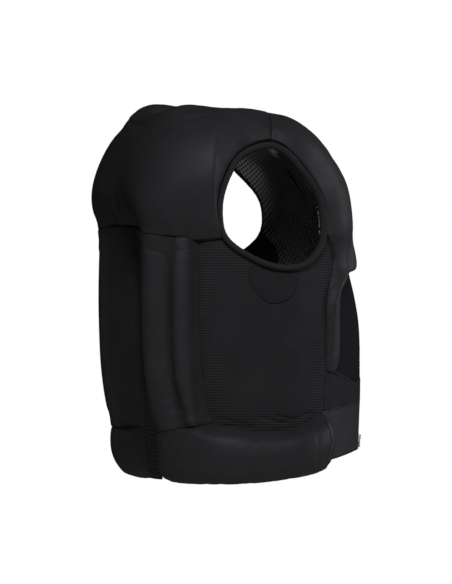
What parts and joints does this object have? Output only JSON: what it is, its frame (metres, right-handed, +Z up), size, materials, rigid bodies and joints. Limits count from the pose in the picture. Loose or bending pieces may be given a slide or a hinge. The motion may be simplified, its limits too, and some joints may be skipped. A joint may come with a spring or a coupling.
{
  "type": "inflated airbag vest",
  "caption": "Sleeveless black airbag vest shown inflated: puffed yoke, back cushions, waist rolls and chest cushions, ribbed knit sides, bound armholes and a front zip.",
  "frame": {"origin": "middle of the neck opening, at the height of the shoulders that carry the vest", "axes": "+Z up along the wearer's body, -Y towards the wearer's front and the zip, -X towards the wearer's right side"},
  "size_m": [0.4134, 0.3975, 0.5655],
  "materials": {
    "shell": "matte black stretch fabric with a fine weave",
    "ribbed_knit": "black stretch knit with fine level ribs",
    "patch": "smooth black stretch fabric",
    "spacer_mesh": "black spacer mesh with a diamond net",
    "flat_panel": "matte black stretch fabric",
    "binding": "black rolled elastic binding",
    "zip_tape": "black woven tape",
    "zip_teeth": "black moulded teeth",
    "zip_metal": "silver plated metal"
  },
  "bodies": {
    "root": {"back_yoke": "shell", "yoke_lining": "spacer_mesh", "back_tube_right": "shell", "back_tube_left": "shell", "spine_mesh": "spacer_mesh", "waist_roll_right": "shell", "waist_roll_left": "shell", "side_panel_right": "ribbed_knit", "side_panel_left": "ribbed_knit", "underarm_patch_right": "patch", "underarm_patch_left": "patch", "front_panel_right": "shell", "front_panel_left": "shell", "front_lining_right": "spacer_mesh", "front_lining_left": "spacer_mesh", "front_inset_right": "flat_panel", "front_inset_left": "flat_panel", "front_mid_right": "flat_panel", "front_mid_left": "flat_panel", "front_lower_right": "flat_panel", "front_lower_left": "flat_panel", "armhole_binding_right": "binding", "armhole_binding_left": "binding", "zip_tape_right": "zip_tape", "zip_tape_left": "zip_tape", "zip_chain": "zip_teeth", "zip_slider": "zip_metal"},
    "zip_pull": {"zip_pull": "zip_metal"}
  },
  "joints": [
    {"name": "pull_swing", "type": "hinge", "parent": "root", "child": "zip_pull", "pos_m": [0, -0.18654, -0.472], "axis": [-1, 0, 0], "range_deg": [0, 160]}
  ]
}
